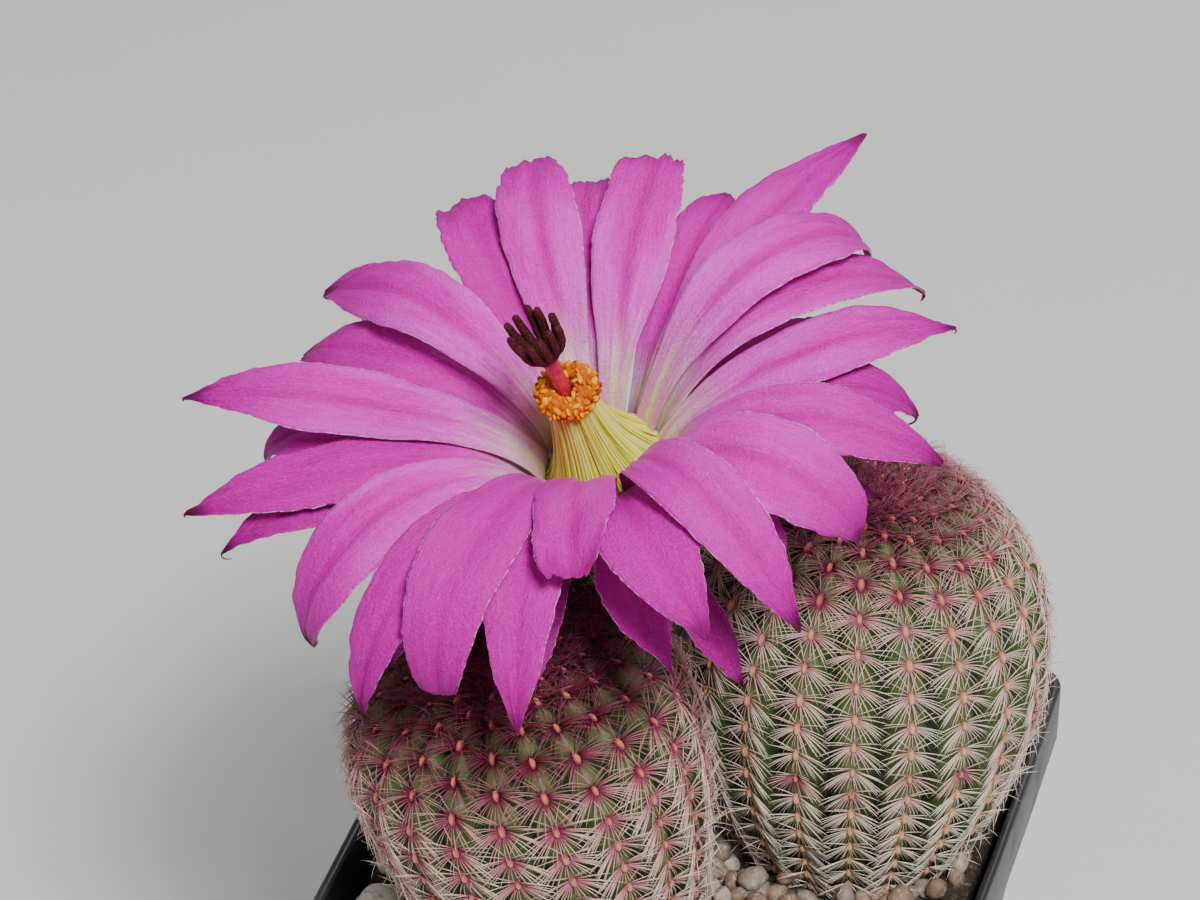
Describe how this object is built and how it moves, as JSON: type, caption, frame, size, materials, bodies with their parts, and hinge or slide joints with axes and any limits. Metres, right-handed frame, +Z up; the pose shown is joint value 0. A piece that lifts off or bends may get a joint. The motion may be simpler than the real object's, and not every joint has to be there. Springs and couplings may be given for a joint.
{
  "type": "potted round cactus",
  "caption": "Round ribbed cacti with comb-like spines in a square plastic nursery pot with gravel, carrying a wide magenta flower.",
  "frame": {"origin": "centre of the pot's flat underside, at the level it stands on", "axes": "+Z up, +X to the pot's right and +Y to its back, both square to the pot's walls"},
  "size_m": [0.0943, 0.0884, 0.1553],
  "materials": {
    "pot_plastic": "satin moulded plastic, faintly scuffed",
    "soil": "dull crumbly potting soil",
    "gravel": "loose worn gravel",
    "pebble_stone": "smooth pale pebbles",
    "cactus_skin": "waxy green skin under pale and rose spines",
    "flower_tube_skin": "matt spiny flower tube",
    "petal": "satin petal, pale at the throat, fine veins",
    "sepal": "matt dark outer petal",
    "filament": "fine pale yellow threads",
    "anther": "powdery orange grains",
    "style": "smooth waxy crimson",
    "stigma": "dark velvety lobes"
  },
  "bodies": {
    "root": {"pot": "pot_plastic", "soil": "soil", "gravel_bed": "gravel", "pebble_1": "pebble_stone", "pebble_2": "pebble_stone", "pebble_3": "pebble_stone", "pebble_4": "pebble_stone", "pebble_5": "pebble_stone", "pebble_6": "pebble_stone", "pebble_7": "pebble_stone", "pebble_8": "pebble_stone", "cactus_left": "cactus_skin", "cactus_right": "cactus_skin", "flower_tube": "flower_tube_skin", "petal_01": "petal", "petal_02": "petal", "petal_03": "petal", "petal_04": "petal", "petal_05": "petal", "petal_06": "petal", "petal_07": "petal", "petal_08": "petal", "petal_09": "petal", "petal_10": "petal", "petal_11": "petal", "petal_12": "petal", "petal_13": "petal", "petal_14": "petal", "petal_15": "petal", "petal_16": "petal", "petal_17": "petal", "petal_18": "petal", "petal_19": "petal", "petal_20": "petal", "petal_21": "petal", "petal_22": "petal", "petal_23": "petal", "petal_24": "petal", "petal_25": "petal", "petal_26": "petal", "petal_27": "petal", "sepal_1": "sepal", "sepal_2": "sepal", "sepal_3": "sepal", "sepal_4": "sepal", "sepal_5": "sepal", "sepal_6": "sepal", "sepal_7": "sepal", "sepal_8": "sepal", "filaments": "filament", "anther_ring": "anther", "style": "style", "stigma": "stigma"}
  },
  "joints": []
}
